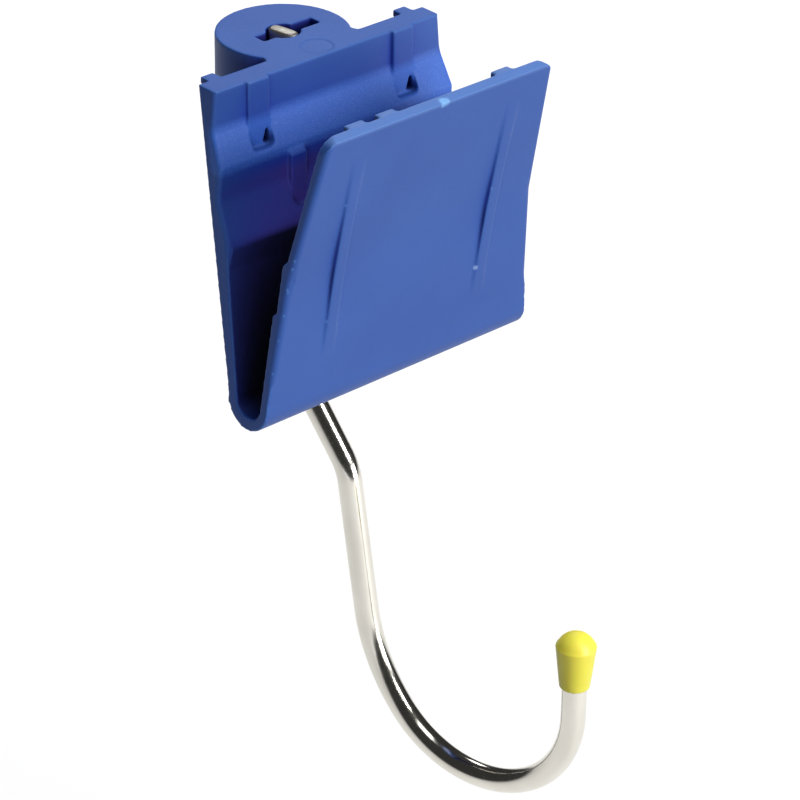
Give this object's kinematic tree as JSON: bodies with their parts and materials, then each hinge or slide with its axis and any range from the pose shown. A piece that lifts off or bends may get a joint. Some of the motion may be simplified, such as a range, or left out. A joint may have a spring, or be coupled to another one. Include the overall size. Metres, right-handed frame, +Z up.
{
  "type": "clip-on swivel hook",
  "caption": "Wide V-shaped spring clip with a swivelling round-rod hook behind it, its tip covered by a soft cap, for hanging things from a panel edge.",
  "frame": {"origin": "on the boss axis, at the flat top face of the boss and ridge", "axes": "+Z up along the boss axis, -Y towards the front leaf, +X along the clip's width"},
  "size_m": [0.067, 0.0879, 0.1517],
  "materials": {
    "clip_plastic": "satin moulded polypropylene, blue",
    "plated_steel": "bright nickel plate on drawn steel rod",
    "cap_vinyl": "dipped soft vinyl, yellow"
  },
  "bodies": {
    "clip": {"clip_body": "clip_plastic"},
    "leaf": {"front_leaf": "clip_plastic"},
    "hook": {"hook_rod": "plated_steel", "end_cap": "cap_vinyl"}
  },
  "joints": [
    {"name": "leaf_spring", "type": "hinge", "parent": "clip", "child": "leaf", "pos_m": [0, -0.0332, -0.0546], "axis": [1, 0, 0], "range_deg": [-4, 8], "stiffness_Nm_per_rad": 6},
    {"name": "hook_swivel", "type": "hinge", "parent": "clip", "child": "hook", "pos_m": [0, 0, 0], "axis": [0, 0, 1], "continuous": true}
  ]
}
